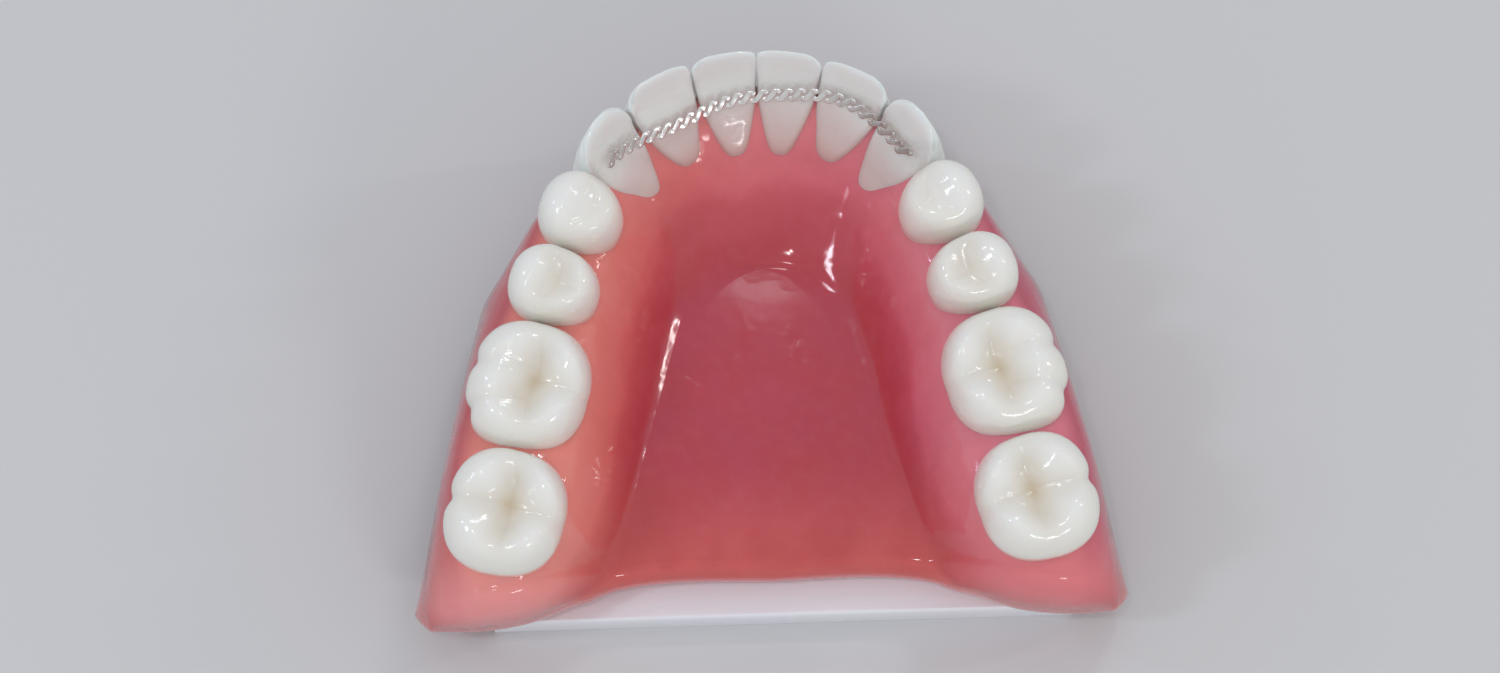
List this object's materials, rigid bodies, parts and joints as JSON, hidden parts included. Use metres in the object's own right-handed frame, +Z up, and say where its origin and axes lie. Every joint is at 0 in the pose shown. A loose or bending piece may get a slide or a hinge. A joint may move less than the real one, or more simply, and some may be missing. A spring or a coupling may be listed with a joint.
{
  "type": "lower jaw demonstration model with bonded chain retainer",
  "caption": "Lower jaw model in pink acrylic on a white plate, with white resin teeth and a fine S-link chain retainer bonded behind the front teeth.",
  "frame": {"origin": "on the jaw's midline, on the flat underside of the white plate, halfway between its front and rear", "axes": "+Z up towards the biting edges, +Y towards the front teeth, +X across the jaw"},
  "size_m": [0.0628, 0.0509, 0.0205],
  "materials": {
    "gum_acrylic": "polished",
    "plate_plastic": "satin",
    "back_tooth_resin": "glossy",
    "front_tooth_resin": "glossy",
    "chain_steel": "polished",
    "clear_adhesive": "clear, glossy"
  },
  "bodies": {
    "root": {"base_plate": "plate_plastic", "gum_base": "gum_acrylic", "left_central_incisor": "front_tooth_resin", "left_lateral_incisor": "front_tooth_resin", "left_canine": "front_tooth_resin", "left_first_premolar": "back_tooth_resin", "left_second_premolar": "back_tooth_resin", "left_first_molar": "back_tooth_resin", "left_second_molar": "back_tooth_resin", "right_central_incisor": "front_tooth_resin", "right_lateral_incisor": "front_tooth_resin", "right_canine": "front_tooth_resin", "right_first_premolar": "back_tooth_resin", "right_second_premolar": "back_tooth_resin", "right_first_molar": "back_tooth_resin", "right_second_molar": "back_tooth_resin", "bond_left_central_incisor": "clear_adhesive", "bond_left_lateral_incisor": "clear_adhesive", "bond_left_canine": "clear_adhesive", "bond_right_central_incisor": "clear_adhesive", "bond_right_lateral_incisor": "clear_adhesive", "bond_right_canine": "clear_adhesive", "chain_link_01": "chain_steel", "chain_link_02": "chain_steel", "chain_link_03": "chain_steel", "chain_link_04": "chain_steel", "chain_link_05": "chain_steel", "chain_link_06": "chain_steel", "chain_link_07": "chain_steel", "chain_link_08": "chain_steel", "chain_link_09": "chain_steel", "chain_link_10": "chain_steel", "chain_link_11": "chain_steel", "chain_link_12": "chain_steel", "chain_link_13": "chain_steel", "chain_link_14": "chain_steel", "chain_link_15": "chain_steel", "chain_link_16": "chain_steel", "chain_link_17": "chain_steel", "chain_link_18": "chain_steel", "chain_link_19": "chain_steel", "chain_link_20": "chain_steel", "chain_link_21": "chain_steel", "chain_link_22": "chain_steel", "chain_link_23": "chain_steel", "chain_link_24": "chain_steel", "chain_link_25": "chain_steel", "chain_link_26": "chain_steel", "chain_link_27": "chain_steel"}
  },
  "joints": []
}
